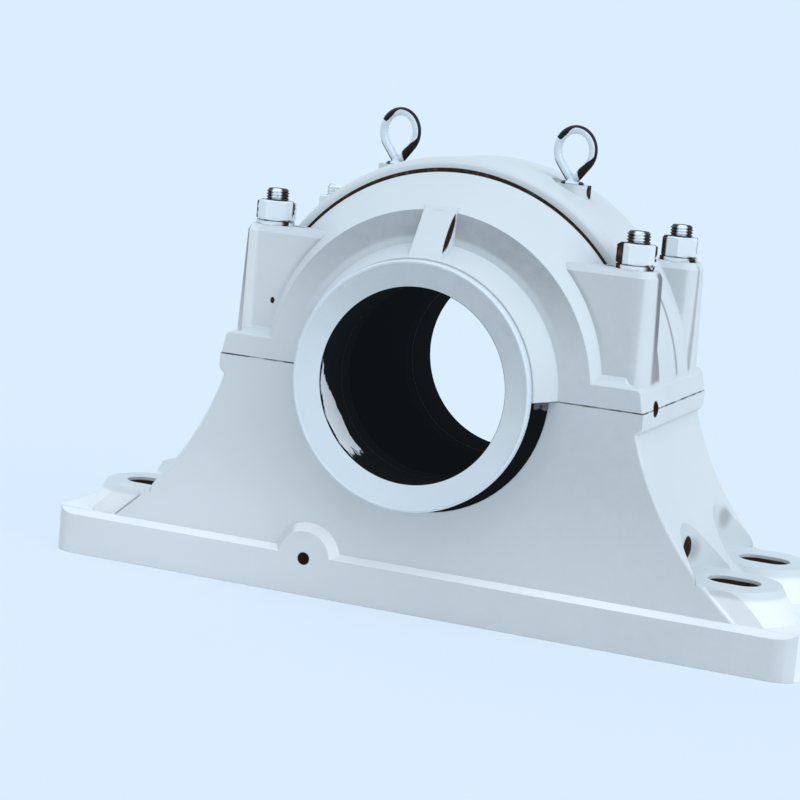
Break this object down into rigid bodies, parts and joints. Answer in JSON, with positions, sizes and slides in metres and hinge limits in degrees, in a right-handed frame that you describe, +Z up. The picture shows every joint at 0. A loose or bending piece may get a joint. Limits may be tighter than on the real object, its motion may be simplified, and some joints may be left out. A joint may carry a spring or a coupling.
{
  "type": "pillow block housing",
  "caption": "Split cast housing that carries a large shaft's bearing, with long flared foot, bolted arch cap and labyrinth seal rings.",
  "frame": {"origin": "on the ground, under the middle of the shaft bore", "axes": "+Z up, +X along the foot, +Y along the shaft; front and rear are alike, and the open drain hole is at -Y"},
  "size_m": [0.83, 0.326, 0.5109],
  "materials": {
    "painted_iron": "pale grey paint over cast iron",
    "painted_ring": "pale grey paint over turned iron",
    "rubber": "matt black rubber",
    "bolt_steel": "zinc plated steel, grime in the corners",
    "eye_steel": "pale plated steel",
    "seal_metal": "soft sealing metal"
  },
  "bodies": {
    "housing": {"base_casting": "painted_iron", "cap_casting": "painted_iron", "cap_stud_front_left": "bolt_steel", "cap_stud_front_right": "bolt_steel", "cap_stud_rear_left": "bolt_steel", "cap_stud_rear_right": "bolt_steel", "stud_washer_front_left": "bolt_steel", "stud_washer_front_right": "bolt_steel", "stud_washer_rear_left": "bolt_steel", "stud_washer_rear_right": "bolt_steel", "cap_nut_front_left": "bolt_steel", "cap_nut_front_right": "bolt_steel", "cap_nut_rear_left": "bolt_steel", "cap_nut_rear_right": "bolt_steel", "eyebolt_left": "eye_steel", "eyebolt_right": "eye_steel", "dowel_pin_left": "bolt_steel", "dowel_pin_right": "bolt_steel", "drain_plug": "bolt_steel", "drain_plug_washer": "seal_metal"},
    "front_seal": {"front_labyrinth_ring": "painted_ring", "front_rubber_ring": "rubber"},
    "rear_seal": {"rear_labyrinth_ring": "painted_ring", "rear_rubber_ring": "rubber"}
  },
  "joints": [
    {"name": "front_seal_turn", "type": "hinge", "parent": "housing", "child": "front_seal", "pos_m": [0, -0.117, 0.24], "axis": [0, 1, 0], "continuous": true},
    {"name": "rear_seal_turn", "type": "hinge", "parent": "housing", "child": "rear_seal", "pos_m": [0, 0.117, 0.24], "axis": [0, 1, 0], "continuous": true}
  ]
}
